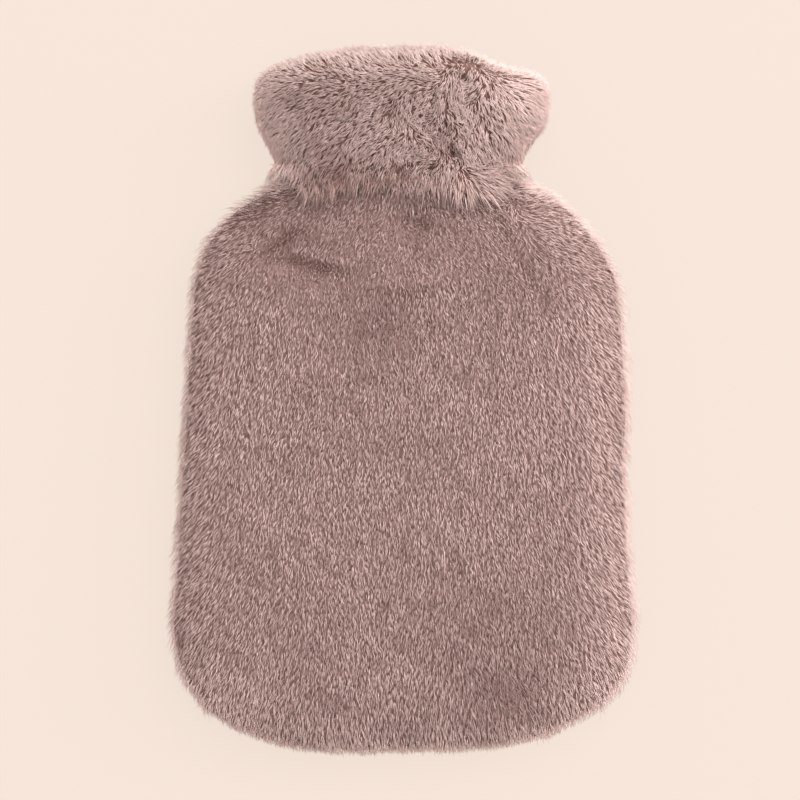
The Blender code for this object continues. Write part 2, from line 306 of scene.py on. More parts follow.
# Soft patches where the nap catches more light or less.
BODY_PATCHES = (
    # x, y, half length, half width, degrees, tone
    (0.0000, 0.0720, 0.0850, 0.0300, 0, -0.15),
    (-0.0176, 0.0323, 0.0200, 0.0250, 0, -0.22),
    (-0.0580, 0.0790, 0.0200, 0.0190, 0, -0.24),
    (0.0627, 0.0960, 0.0120, 0.0080, 0, 0.08),
    (0.0039, -0.1568, 0.0420, 0.0090, 0, -0.22),
    (0.0610, -0.1490, 0.0220, 0.0100, 0, -0.17),
    (-0.0363, 0.0039, 0.0130, 0.0110, 0, -0.12),
    (0.0053, 0.0843, 0.0120, 0.0090, 0, -0.18),
    (0.0480, 0.0529, 0.0130, 0.0150, 0, -0.12),
    (0.0843, 0.0823, 0.0120, 0.0150, 0, 0.18),
    (0.0514, -0.1343, 0.0350, 0.0240, 0, -0.28),
    (0.0441, -0.0990, 0.0240, 0.0150, 0, -0.18),
    (-0.0392, -0.1460, 0.0220, 0.0110, 0, -0.16),
    (-0.0470, -0.1176, 0.0160, 0.0140, 0, -0.10),
    (0.0000, -0.1009, 0.0600, 0.0150, 0, -0.05),
    (-0.0343, 0.0980, 0.0400, 0.0120, 10, -0.08),
    (0.0590, 0.0790, 0.0140, 0.0110, 0, -0.13),
    (0.0800, 0.0680, 0.0140, 0.0100, -30, -0.13),
    (-0.0730, 0.0050, 0.0280, 0.0400, 0, 0.10),
    (0.0740, 0.0020, 0.0180, 0.0380, 0, 0.12),
    (-0.0270, -0.1500, 0.0150, 0.0110, 0, 0.09),
    (0.0130, -0.1345, 0.0260, 0.0080, 0, 0.12),
    (-0.0930, -0.1390, 0.0130, 0.0140, 0, 0.12),
)
COLLAR_PATCHES = (
    # x, y, half length, half width, degrees, tone
    (-0.0341, 0.1032, 0.0350, 0.0120, 0, -0.13),
    (-0.0214, 0.1076, 0.0380, 0.0090, 0, -0.24),
    (-0.0434, 0.1285, 0.0300, 0.0200, 0, -0.10),
    (-0.0195, 0.1412, 0.0160, 0.0100, 0, -0.08),
    (-0.0049, 0.1266, 0.0180, 0.0140, 0, 0.16),
    (0.0409, 0.0964, 0.0120, 0.0080, 0, 0.24),
    (-0.0633, 0.1519, 0.0120, 0.0140, 0, 0.42),
    (0.0185, 0.1290, 0.0100, 0.0080, 0, -0.20),
    (0.0370, 0.1535, 0.0190, 0.0090, 0, 0.24),
    (0.0565, 0.1480, 0.0170, 0.0160, 0, 0.46),
    (0.0600, 0.1190, 0.0140, 0.0120, 0, 0.34),
    (-0.0600, 0.1200, 0.0140, 0.0170, 0, 0.42),
    (0.0424, 0.1285, 0.0140, 0.0160, 0, 0.08),
    (0.0281, 0.1130, 0.0080, 0.0100, 0, 0.15),
    (0.0500, 0.1080, 0.0110, 0.0080, 0, -0.28),
    (0.0560, 0.1320, 0.0120, 0.0110, 0, -0.15),
    (0.0052, 0.1070, 0.0090, 0.0060, 0, -0.12),
    (-0.0480, 0.1440, 0.0170, 0.0070, 0, -0.14),
    (-0.0120, 0.1540, 0.0300, 0.0060, 0, -0.10),
)

# Places where the pile parts and its roots show dark.
BODY_PARTINGS = (
    # x, y, radius, strength
    (-0.0053, 0.0361, 0.0030, 0.9),
    (-0.0010, 0.0294, 0.0028, 0.8),
    (-0.0118, 0.0338, 0.0022, 0.6),
    (0.0549, -0.1470, 0.0090, 0.4),
    (0.0666, -0.1392, 0.0060, 0.4),
    (-0.1063, -0.1117, 0.0026, 1.0),
    (-0.1049, -0.1166, 0.0022, 0.9),
    (0.0686, 0.0490, 0.0040, 0.5),
)
COLLAR_PARTINGS = (
    # x, y, radius, strength
    (-0.0053, 0.1383, 0.0022, 0.8),
    (0.0255, 0.1266, 0.0024, 0.8),
    (0.0234, 0.1193, 0.0020, 0.8),
    (0.0312, 0.1558, 0.0018, 0.7),
    (-0.0107, 0.1295, 0.0018, 0.5),
)

# Places where the pile is ruffled, and its tufts point every way.
BODY_RUFFLES = (
    # x, y, half length, half width, degrees, strength
    (0.0080, 0.0760, 0.0150, 0.0140, 0, 0.30),
    (0.0540, 0.0960, 0.0060, 0.0050, 0, 0.40),
    (0.0640, 0.0800, 0.0260, 0.0140, -40, 0.42),
    (-0.0700, 0.0860, 0.0240, 0.0130, 40, 0.28),
    (0.0580, -0.1400, 0.0220, 0.0130, 10, 0.36),
    (0.0300, 0.0480, 0.0260, 0.0120, 20, 0.24),
)
COLLAR_RUFFLES = (
    # x, y, half length, half width, degrees, strength
    (0.0136, 0.1295, 0.0200, 0.0150, 0, 0.85),
    (0.0292, 0.1519, 0.0190, 0.0100, 0, 0.60),
    (0.0019, 0.1110, 0.0140, 0.0050, 0, 0.40),
)

# How the collar's pile is combed, by the place across it: the fringe over the fold from straight
# up, and the turned layer below it from straight down, in degrees to the right.
COLLAR_COMB = (
    # x, where the fringe starts, fringe, below the fold, middle, hem
    (-0.072, 0.146, -88, -86, -50, -30),
    (-0.060, 0.146, -75, -72, -46, -26),
    (-0.045, 0.146, -55, -62, -42, -22),
    (-0.015, 0.147, -38, -66, -46, -12),
    (0.006, 0.149, -32, -72, -26, -7),
    (0.022, 0.154, -12, -50, 0, -4),
    (0.035, 0.159, 4, 4, 10, 6),
    (0.048, 0.158, 40, 30, 26, 28),
    (0.060, 0.150, 80, 66, 45, 36),
    (0.070, 0.146, 92, 88, 60, 42),
)


def deselect():
    """Leaves nothing selected, so that the next operator acts on the new piece alone."""
    for thing in bpy.context.view_layer.objects:
        thing.select_set(False)


def smooth_step(low, high, value):
    """0 at low, 1 at high, with a soft start and end."""
    share = np.clip((value - low) / (high - low), 0, 1)
    return share * share * (3 - 2 * share)


def unit(vectors):
    """The same directions, each of length 1."""
    return vectors / np.maximum(np.linalg.norm(vectors, axis=1), 1e-12)[:, None]


def waves(places, size, seed, count=12):
    """A soft field, mostly from -1 to 1, uneven over lengths of one to two sizes."""
    random = np.random.default_rng(seed)
    ways = unit(random.normal(size=(count, 3)))
    lengths = size * random.uniform(0.8, 2.2, count)
    starts = random.uniform(0, 2 * math.pi, count)
    angles = places @ (ways / lengths[:, None]).T * 2 * math.pi + starts
    return np.sin(angles).sum(axis=1) / math.sqrt(count)


def fold_heights(places, rows):
    """How high the soft ridges and troughs of a table stand at each place."""
    heights = np.zeros(len(places))
    for x, y, half_length, half_width, degrees, height in rows:
        run = math.radians(degrees)
        from_x, from_y = places[:, 0] - x, places[:, 1] - y
        along = (from_x * math.cos(run) + from_y * math.sin(run)) / half_length
        across = (from_y * math.cos(run) - from_x * math.sin(run)) / half_width
        heights += height * np.exp(-(along**2) - across**2)
    return heights


def bell(value, middle, half_width):
    """1 at the middle, falling softly to 0 at both sides."""
    return np.exp(-(((value - middle) / half_width) ** 2))


def relief(places, rows):
    """The folds of a table and the soft lumps of the pile on them."""
    return fold_heights(places, rows) + LUMP * waves(places, LUMP_LENGTH, seed=6)


def depth_in(places, rows):
    """How far into the table's troughs each place lies, from 0 on their lips to 1 in the bottom."""
    return np.clip(-fold_heights(places, rows) / CREASE_DEPTH, 0, 1)


def partings(places, rows):
    """How open the pile is at each place, and the way out of the partings there."""
    opened = np.zeros(len(places))
    way = np.zeros((len(places), 3))
    for x, y, radius, strength in rows:
        out = np.stack([places[:, 0] - x, places[:, 1] - y, np.zeros(len(places))], axis=1)
        share = strength * np.exp(-(out**2).sum(axis=1) / radius**2)
        opened += share
        way += unit(out) * share[:, None]
    return opened, way


# ---------------------------------------------------------------- ground cloth
def furry_faces(shape, start):
    """The faces of the furry side: all that join the start face with no cut edge between."""
    found = {start}
    waiting = [start]
    while waiting:
        for edge in waiting.pop().edges:
            if len(edge.link_faces) == 2 and edge.calc_face_angle() <= CUT_EDGE:
                new = [face for face in edge.link_faces if face not in found]
                found.update(new)
                waiting.extend(new)
    return found


def body_shift(x, y):
    """How far the body's cloth lies to the right of its solid, and how far up the cover."""
    right = smooth_step(*RIGHT_SIDE, x) * (1 + smooth_step(*FULL_SHOULDER, y))
    return RIGHT_SPREAD * right, np.zeros(len(y))


def collar_shift(x, y):
    """The same for the collar: its hem is drawn up out of its fringe, and its fold down."""
    right = smooth_step(*COLLAR_END, x) * smooth_step(*COLLAR_END_UP, y)
    up = HEM_LIFT * smooth_step(*LIFTED_HEM, y) - FOLD_SINK * smooth_step(*FOLD_TOP, y)
    corner = smooth_step(*CORNER_UP, y) * bell(x, *CORNER_MIDDLE)
    return RIGHT_SPREAD * right, up - CORNER_SINK * corner


def merged_copy(node, name, cuts):
    """A copy of a node's solid, its doubles merged and its faces cut finer."""
    deselect()
    cloth = frame["nodes"][node].copy()
    cloth.data = cloth.data.copy()
    cloth.name = name
    for key in list(cloth.keys()):
        del cloth[key]
    cloth.parent = None
    bpy.context.scene.collection.objects.link(cloth)
    bpy.context.view_layer.objects.active = cloth
    cloth.select_set(True)
    bpy.ops.mesh.customdata_custom_splitnormals_clear()
    bpy.ops.object.mode_set(mode="EDIT")
    bpy.ops.mesh.select_all(action="SELECT")
    bpy.ops.mesh.remove_doubles(threshold=MERGE_GAP)
    if cuts:
        bpy.ops.mesh.subdivide(number_cuts=cuts, smoothness=CLOTH_SMOOTHNESS)
    bpy.ops.object.mode_set(mode="OBJECT")
    return cloth


def ground_cloth(node, name, finish, sink, shift, cuts=0, downward=False):
    """The node's form as a thinner cloth, its furry side sunk to where the pile is rooted.

    The furry side, which faces up or downward, is marked in the mesh. shift then moves the
    cloth's places to the right and up the cover.
    """
    cloth = merged_copy(node, name, cuts)
    shape = bmesh.new()
    shape.from_mesh(cloth.data)
    side = shape.faces.layers.int.new("furry")
    way = -1 if downward else 1
    furry = furry_faces(shape, max(shape.faces, key=lambda face: way * face.calc_center_median().z))
    moves = {}
    for vert in shape.verts:
        outer = [face for face in vert.link_faces if face in furry]
        normal = sum((face.normal * face.calc_area() for face in outer), Vector())
        if normal.length > 0:
            moves[vert] = normal.normalized() * sink
    for vert, move in moves.items():
        vert.co -= move
    x, y, _ = np.array([vert.co[:] for vert in shape.verts]).T
    for vert, right, up in zip(shape.verts, *shift(x, y)):
        vert.co += Vector((right, up, 0))
    for face in furry:
        face[side] = 1
    shape.to_mesh(cloth.data)
    shape.free()
    cloth.data.shade_smooth()
    cloth.data.materials.clear()
    cloth.data.materials.append(finish)
    return cloth


def widened(rows):
    """The folds of a table as the ground cloth has them, with wider troughs."""
    wide = []
    for x, y, half_length, half_width, degrees, height in rows:
        step = CLOTH_STEP * (height < 0)
        wide.append((x, y, half_length + step, half_width + step, degrees, height))
    return wide


def press_folds(cloth, rows):
    """Lays the ground cloth's upper half, both its sides, on the same folds as its pile.

    Where it lies deep in a trough is marked in the mesh, for the painted shade of its finish.
    """
    rows = widened(rows)
    shape = bmesh.new()
    shape.from_mesh(cloth.data)
    hollow = shape.verts.layers.float.new("hollow")
    verts = [vert for vert in shape.verts if vert.co.z > SEAM_HEIGHT]
    places = np.array([vert.co[:] for vert in verts])
    for vert, height, depth in zip(verts, relief(places, rows), depth_in(places, rows)):
        vert.co += vert.normal * math.copysign(height, height * vert.normal.z)
        vert[hollow] = depth
    shape.to_mesh(cloth.data)
    shape.free()


def furry_triangles(cloth):
    """Corners, corner normals and areas of the cloth's furry triangles."""
    mesh = cloth.data
    corners = np.empty(len(mesh.loops), np.int64)
    mesh.loops.foreach_get("vertex_index", corners)
    side = np.empty(len(mesh.polygons), np.int32)
    mesh.attributes["furry"].data.foreach_get("value", side)
    corners = corners.reshape(-1, 3)[side == 1]
    places = np.empty(len(mesh.vertices) * 3)
    mesh.vertices.foreach_get("co", places)
    places = places.reshape(-1, 3)
    a, b, c = (places[corners[:, k]] for k in range(3))
    across = np.cross(b - a, c - a)
    normals = np.zeros_like(places)
    for k in range(3):
        np.add.at(normals, corners[:, k], across)
    normals = unit(normals)
    return places[corners], normals[corners], np.linalg.norm(across, axis=1) / 2


def scatter(triangles, number, random, keep):
    """Roots spread evenly over the triangles, and the cloth's normal at each.

    keep gives each triangle's share of the full density, from 0 to 1.
    """
    places, normals, areas = triangles
    weights = areas * keep(places.mean(axis=1), unit(normals.mean(axis=1)))
    total = np.cumsum(weights)
    picks = (np.arange(number) + random.uniform(0, 1, number)) / number * total[-1]
    face = np.minimum(np.searchsorted(total, picks), len(areas) - 1)
    first, second = random.uniform(0, 1, (2, number))
    over = first + second > 1
    first[over], second[over] = 1 - first[over], 1 - second[over]
    shares = np.stack([1 - first - second, first, second], axis=1)[:, :, None]
    return (places[face] * shares).sum(axis=1), unit((normals[face] * shares).sum(axis=1))


# ---------------------------------------------------------------- one lock of pile
def model_lock():
    """One lock of unit length: it widens from its root to its bend, then tapers to its tip."""
    deselect()
    middle = (1 + LOCK_BEND) / 2
    bpy.ops.mesh.primitive_cone_add(
        vertices=3, radius1=0.5, depth=1 - LOCK_BEND, end_fill_type="NOTHING", location=(0, 0, middle)
    )
    lock = bpy.context.object
    bpy.ops.object.mode_set(mode="EDIT")
    bpy.ops.mesh.select_all(action="DESELECT")
    bpy.ops.mesh.select_non_manifold()
    bpy.ops.mesh.extrude_edges_move(TRANSFORM_OT_translate={"value": (0, 0, -LOCK_BEND)})
    bpy.ops.mesh.merge(type="COLLAPSE")
    bpy.ops.mesh.select_all(action="SELECT")
    bpy.ops.mesh.normals_make_consistent(inside=False)
    bpy.ops.object.mode_set(mode="OBJECT")
    bpy.ops.object.transform_apply(location=True, rotation=False, scale=False)
    points = np.array([vert.co[:] for vert in lock.data.vertices])
    faces = np.array([face.vertices[:] for face in lock.data.polygons])
    bpy.data.objects.remove(lock)
    return points, faces


def bent(along, first):
    """How far a lock has come at each share of its length, from its first slope on."""
    return first * along + (1 - first) * along**2


def grow(lock, roots, normals, comb, coat, random):
    """The points of a lock at each root: it leaves the cloth steeply and bends along the comb.

    Every point follows the relief where it lies, so that no lock bridges a crease. The second
    result is the height of the relief under each lock's tip.
    """
    comb = unit(comb - (comb * normals).sum(axis=1)[:, None] * normals)
    aside = np.cross(comb, normals)
    turn = random.uniform(0, 2 * math.pi, len(roots))[:, None]
    across, deep, along = lock.T
    reach = coat["reach"][:, None] * bent(along, FIRST_REACH)
    rise = coat["rise"][:, None] * bent(along, FIRST_RISE) - ROOT_DEPTH * (1 - along)
    rise = rise - coat["droop"][:, None] * along**2
    width = coat["width"][:, None]
    wide = width * (across * np.cos(turn) - deep * np.sin(turn))
    thick = width * (across * np.sin(turn) + deep * np.cos(turn)) * LOCK_THICKNESS
    laid = roots[:, None, :] + comb[:, None, :] * reach[:, :, None]
    folded = relief(laid.reshape(-1, 3), coat["folds"]).reshape(reach.shape)
    folded = folded * coat["faces_up"][:, None]
    points = laid + normals[:, None, :] * (rise + thick + folded)[:, :, None]
    return points + aside[:, None, :] * wide[:, :, None], folded[:, along == 1].mean(axis=1)


def lay_mesh(name, lock, lock_faces, points, tone, shading, finish):
    """Joins the locks into one piece, with a map of them: tone across, root to tip up.

    shading gives how far up the map each lock's root and its tip lie.
    """
    number, count = points.shape[:2]
    points = points.reshape(-1, 3)
    points[:, 2] = np.maximum(points[:, 2], FLOOR_GAP)
    faces = (lock_faces[None, :, :] + (np.arange(number) * count)[:, None, None]).reshape(-1)
    mesh = bpy.data.meshes.new(name)
    mesh.vertices.add(number * count)
    mesh.vertices.foreach_set("co", points.ravel())
    mesh.loops.add(len(faces))
    mesh.loops.foreach_set("vertex_index", faces.astype(np.int32))
    mesh.polygons.add(len(faces) // 3)
    mesh.polygons.foreach_set("loop_start", np.arange(0, len(faces), 3, dtype=np.int32))
    mesh.update(calc_edges=True)
    across, _, along = lock.T
    tones = np.clip(tone, *TONE_LIMITS)[:, None] + TONE_WIDTH * across
    low, high = shading
    heights = low[:, None] + (high - low)[:, None] * along
    places = np.stack([tones, heights], axis=2).reshape(-1, 2)
    layer = mesh.uv_layers.new(name="OFBake")
    layer.data.foreach_set("uv", places[faces].ravel())
    mesh.shade_smooth()
    mesh.materials.append(finish)
    piece = bpy.data.objects.new(name, mesh)
    bpy.context.scene.collection.objects.link(piece)
    return piece


# ---------------------------------------------------------------- finishes
class Wire:
    """A socket of a material's tree, from which further nodes are added."""

    def __init__(self, tree, socket=None):
        self.tree = tree
        self.socket = socket

    def node(self, kind, settings=None, inputs=None, output=0):
        """Adds a node: its settings first, then the values or links of its sockets."""
        made = self.tree.nodes.new(kind)
        for name, value in (settings or {}).items():
            if name == "stops":
                ramp = made.color_ramp
                while len(ramp.elements) < len(value):
                    ramp.elements.new(0.5)
                for stop, (place, colour) in zip(ramp.elements, value):
                    stop.position = place
                    stop.color = (*colour, 1)
            else:
                setattr(made, name, value)
        for name, value in (inputs or {}).items():
            if isinstance(value, Wire):
                self.tree.links.new(value.socket, made.inputs[name])
            else:
                made.inputs[name].default_value = value
        return Wire(self.tree, made.outputs[output])

    def other(self, name):
        """Another output of the same node."""
        return Wire(self.tree, self.socket.node.outputs[name])

    def blend(self, share, first, second):
        """A colour between two: the first where share is 0, the second where it is 1."""
        inputs = {"Factor": share, MIX_FIRST: first, MIX_SECOND: second}
        return self.node("ShaderNodeMix", {"data_type": "RGBA"}, inputs, MIX_RESULT)


def new_material(name):
    """An empty material and the start of its tree."""
    material = bpy.data.materials.new(name)
    material.use_nodes = True
    material.node_tree.nodes.clear()
    return material, Wire(material.node_tree)


def finish_with(start, shader):
    """Links a shader to the material's surface."""
    output = start.tree.nodes.new("ShaderNodeOutputMaterial")
    start.tree.links.new(shader.socket, output.inputs["Surface"])


def pile_finish():
    """Combed plush: each lock darkens to its root and pales to its tip, by its tone, which holds its
    own colour and the painted light and shade of the cover.
    """
    material, start = new_material("plush_pile")
    spot = start.node("ShaderNodeUVMap", {"uv_map": "OFBake"})
    tone = start.node("ShaderNodeSeparateXYZ", None, {"Vector": spot}, "X")
    height = tone.other("Y")
    dark = start.node("ShaderNodeValToRGB", {"stops": DARK_LOCK}, {"Fac": height})
    pale = start.node("ShaderNodeValToRGB", {"stops": PALE_LOCK}, {"Fac": height})
    colour = start.blend(tone, dark, pale)
    shader = start.node(
        "ShaderNodeBsdfPrincipled",
        None,
        {
            "Base Color": colour,
            "Roughness": 0.62,
            "Specular IOR Level": 0.06,
            "Sheen Weight": 0.06,
            "Sheen Roughness": 0.45,
            "Sheen Tint": (0.95, 0.70, 0.62, 1),
        },
    )
    finish_with(start, shader)
    return material


def ground_finish(name, dark, pale):
    """The dense root layer between the locks, streaked along the comb, with painted shade in the
    creases.
    """
    material, start = new_material(name)
    place = start.node("ShaderNodeTexCoord", None, None, "Object")
    streaks = start.node("ShaderNodeMapping", None, {"Vector": place, "Scale": STREAKS})
    fine = start.node("ShaderNodeTexNoise", None, {"Vector": streaks, "Scale": 1.0, "Detail": 3.0})
    even = start.node("ShaderNodeValToRGB", {"stops": [(0.3, dark), (0.7, pale)]}, {"Fac": fine})
    # painted shade: the cloth darkens towards the bottom of each trough
    hollow = start.node("ShaderNodeAttribute", {"attribute_name": "hollow"}, None, "Fac")
    colour = start.blend(hollow, even, (*TROUGH_SHADE_CLOTH, 1))
    bump = start.node("ShaderNodeBump", None, {"Height": fine, "Distance": 0.0008, "Strength": 0.8})
    shader = start.node(
        "ShaderNodeBsdfPrincipled",
        None,
        {"Base Color": colour, "Roughness": 0.9, "Normal": bump, "Specular IOR Level": 0.1},
    )
    finish_with(start, shader)
    return material


def paper_finish():
    """The floor's matt paper, a little lit from below as on a light table."""
    material, start = new_material("pale_paper")
    place = start.node("ShaderNodeTexCoord", None, None, "Object")
    grain = start.node("ShaderNodeTexNoise", None, {"Vector": place, "Scale": 60.0})
    bump = start.node("ShaderNodeBump", None, {"Height": grain, "Distance": 0.0001, "Strength": 0.1})
    shader = start.node(
        "ShaderNodeBsdfPrincipled",
        None,
        {
            "Base Color": (*PAPER, 1),
            "Roughness": 0.9,
            "Normal": bump,
            "Specular IOR Level": 0.0,
            "Emission Color": (*PAPER, 1),
            "Emission Strength": PAPER_GLOW,
        },
    )
    finish_with(start, shader)
    return material


# ---------------------------------------------------------------- how the pile is combed
def tree_of(places):
    """A search tree of some places."""
    tree = KDTree(len(places))
    for k, place in enumerate(places):
        tree.insert(place, k)
    tree.balance()
    return tree


def outline_of(cloth):
    """A search tree of the places on the cloth's upright sides, as seen from above."""
    shape = bmesh.new()
    shape.from_mesh(cloth.data)
    places = [(vert.co.x, vert.co.y, 0) for vert in shape.verts if abs(vert.normal.z) < UPRIGHT]
    shape.free()
    return tree_of(places)


def hem_of(cloth):
    """A search tree of the places along the hem of the turned layer, where its pile ends."""
    shape = bmesh.new()
    shape.from_mesh(cloth.data)
    side = shape.faces.layers.int["furry"]
    places = [
        vert.co[:]
        for vert in shape.verts
        if vert.co.y < HEM_TOP and len({face[side] for face in vert.link_faces}) == 2
    ]
    shape.free()
    return tree_of(places)


def gap_to(edge, places):
    """The distance of each place from the nearest point of an edge."""
    return np.array([edge.find(place)[2] for place in places])


def weigh(table, areas):
    """A coat from its table: each row counts as far as its area holds at each place."""
    shares = np.stack([areas[name] for name in table])
    columns = np.array(list(table.values())).T @ shares
    return dict(zip(COAT_COLUMNS, columns))


def body_comb(roots, front, beside, ruffled):
    """The way that the body's pile is combed at each root, seen from above.

    It runs down the cover, turned out at both sides, and fans from the neck at the shoulders. At
    both sides of the neck it points out and a little up, and closes the gap under the collar.
    """
    x, y = roots[:, 0], roots[:, 1]
    edge = EDGE_COMB * np.sign(x) * np.abs(x / EDGE_PLACE) ** 4
    side = MIDDLE_COMB + SIDE_COMB * x + edge
    fan = np.degrees(np.arctan2(x, np.maximum(FAN_TOP - y, FAN_NEAREST))) * FAN_SHARE
    share = smooth_step(*SHOULDER, y)
    waver = COMB_WAVER * waves(roots, size=0.045, seed=3)
    angle = np.radians(side * (1 - share) + fan * share + waver)
    angle = angle * (1 - beside) + math.radians(BESIDE_NECK_COMB) * np.sign(x) * beside
    angle = angle + ruffled * waves(roots, size=0.010, seed=15)
    under = UNDER_TURN * np.where(front, 1, -1) * smooth_step(*UNDER_FOOT, y)
    return unit(np.stack([np.sin(angle), -np.cos(angle), under], axis=1))


def body_coat_at(edge):
    """The coat of the front or back, for the search tree of its outline."""

    def body_coat(roots, normals):
        """The comb, the columns of the coat and its marks at each root."""
        x, y = roots[:, 0], roots[:, 1]
        front = normals[:, 2] > 0
        beside = smooth_step(*BESIDE_NECK_UP, y) * smooth_step(*BESIDE_NECK_OUT, np.abs(x))
        ruffled = np.clip(fold_heights(roots, BODY_RUFFLES), 0, 1) * front
        opened, away = partings(roots, BODY_PARTINGS)
        rim = smooth_step(*RIM_SLOPE, np.abs(normals[:, 2]))
        foot_rim = smooth_step(*FOOT, y) * rim
        neck = smooth_step(*NECK, y)
        # the band of painted light along the outline, and the side that faces the lamp
        band = smooth_step(*BAND, gap_to(edge, roots * (1, 1, 0))) * (1 - neck)
        lit = smooth_step(*LIT_SIDE, x) * (1 - LIT_LOSS * smooth_step(*LIT_END, y))
        areas = {
            "all over": np.ones(len(x)),
            "rim": rim,
            "rim of the foot": foot_rim,
            "rim of the foot's right half": foot_rim * smooth_step(*RIGHT_HALF, x),
            "rim's waves": rim * waves(roots, size=0.014, seed=21),
            "right rim": rim * smooth_step(*RIGHT_SIDE, x),
            "lit rim": rim * lit,
            "band": band,
            "lit band": band * lit,
            "beside the neck": beside,
            "neck": neck,
            "ruffled": ruffled,
            "parted": np.clip(opened * front, 0, 1),
            "clouds": waves(roots, size=0.03, seed=8),
            "mottle": waves(roots, size=0.007, seed=12),
            "specks": smooth_step(*SPECKS, waves(roots, size=0.004, seed=33)),
        }
        coat = weigh(BODY_COAT, areas)
        coat["tone"] += fold_heights(roots, BODY_PATCHES) * front
        coat["comb"] = body_comb(roots, front, beside, ruffled) + away * (PARTING_COMB * front)[:, None]
        coat["folds"] = BODY_FOLDS
        coat["faces_up"] = smooth_step(*FACING_UP, normals[:, 2])
        coat["ruffled"] = ruffled
        coat["loose"] = rim
        middle_neck = SOFT_NECK * smooth_step(*MIDDLE_NECK, y) * bell(x, *NECK_MIDDLE)
        coat["soft"] = np.maximum.reduce([middle_neck, SOFT_RIM * rim, beside])
        return coat

    return body_coat


def collar_comb(roots, up, flap, ruffled):
    """The way that the collar's pile is combed at each root.

    The fringe points up over the fold and out of the mouth, and the turned layer down and out.
    The turned corner at the right fans out from the inner end of its crease.
    """
    x, y, z = roots.T
    across, _, *rows = np.array(COLLAR_COMB).T
    fringe, top, middle, hem = (np.interp(x, across, row) for row in rows)
    low = smooth_step(*LOW_COLLAR, y)
    high = smooth_step(*HIGH_COLLAR, y)
    stray = np.radians(STRAY + RUFFLED_STRAY * ruffled) * waves(roots, size=0.011, seed=5)
    angle = np.radians(middle * (1 - low - high) + hem * low + top * high) + stray
    fan = np.radians(fringe) + stray
    flat = np.zeros(len(x))
    lower = np.stack([np.sin(angle), -np.cos(angle), flat], axis=1)
    upper = np.stack([np.sin(fan), np.cos(fan), FRINGE_LEAN * np.sign(z - SEAM_HEIGHT)], axis=1)
    from_crease = unit(np.stack([x - FLAP_START[0], y - FLAP_START[1], flat], axis=1))
    lower = lower * (1 - flap)[:, None] + from_crease * flap[:, None]
    return lower * (1 - up)[:, None] + upper * up[:, None]


def collar_coat_at(hem):
    """The collar's coat, for the search tree of its hem."""

    def collar_coat(roots, normals):
        """The comb, the columns of the coat and its marks at each root."""
        x, y, z = roots.T
        outward = (z - SEAM_HEIGHT) * normals[:, 2] > 0
        front = outward & (z > SEAM_HEIGHT)
        across, starts, *_ = np.array(COLLAR_COMB).T
        waver = FRINGE_WAVER * waves(roots, size=0.02, seed=4)
        fold = y - np.interp(x, across, starts) + waver
        up = np.maximum(smooth_step(*FRINGE, fold), ~outward)
        ruffled = np.clip(fold_heights(roots, COLLAR_RUFFLES), 0, 1) * front
        under_crease = smooth_step(*FLAP_TOP, y - FLAP_SLOPE * (x - FLAP_MIDDLE))
        flap = smooth_step(*FLAP_ACROSS, x) * under_crease * front
        opened, away = partings(roots, COLLAR_PARTINGS)
        hem_share = smooth_step(*HEM, gap_to(hem, roots)) * outward
        # in the middle the hem lies down on the body, and can hardly be seen
        middle_hem = hem_share * front * bell(x, *HEM_MIDDLE)
        rim = smooth_step(*RIM_SLOPE, np.abs(normals[:, 2]))
        areas = {
            "all over": np.ones(len(x)),
            "fringe": up,
            "left of the fringe": up * smooth_step(*LEFT_FRINGE, -x),
            "corner of the fringe": up * bell(x, *FRINGE_CORNER),
            "turned layer": front * (1 - up) * (1 - hem_share),
            "hem": hem_share,
            "middle of the hem": middle_hem,
            "flap": flap,
            "rim": rim * (1 - up),
            "parted": np.clip(opened * front, 0, 1),
            "clouds": waves(roots, size=0.02, seed=9),
            "mottle": waves(roots, size=0.006, seed=13),
        }
        coat = weigh(COLLAR_COAT, areas)
        coat["droop"] *= smooth_step(*LAID_FLAT, np.abs(normals[:, 2]))
        coat["tone"] += fold_heights(roots, COLLAR_PATCHES) * front
        comb = collar_comb(roots, up, flap, ruffled)
        coat["comb"] = comb + away * (COLLAR_PARTING_COMB * front)[:, None]
        coat["folds"] = COLLAR_FOLDS
        coat["faces_up"] = front * smooth_step(*FACING_UP, normals[:, 2])
        coat["ruffled"] = ruffled
        coat["loose"] = hem_share
        calm = SOFT_COLLAR + SOFT_LEFT * np.maximum(smooth_step(*LEFT_COLLAR, -x), hem_share)
        soft_parts = [calm, middle_hem, SOFT_FRINGE * up, SOFT_COLLAR_RIM * rim]
        coat["soft"] = np.maximum.reduce(soft_parts)
        return coat

    return collar_coat


def tufts_of(roots, random):
    """For each root the number of its tuft, and the tuft's middle."""
    picks = random.choice(len(roots), int(len(roots) * TUFT_SHARE), replace=False)
    squeezed = roots * (1, TUFT_SQUEEZE, 1)
    tree = tree_of(squeezed[picks])
    nearest = np.array([tree.find(root)[1] for root in squeezed])
    return nearest, roots[picks][nearest]


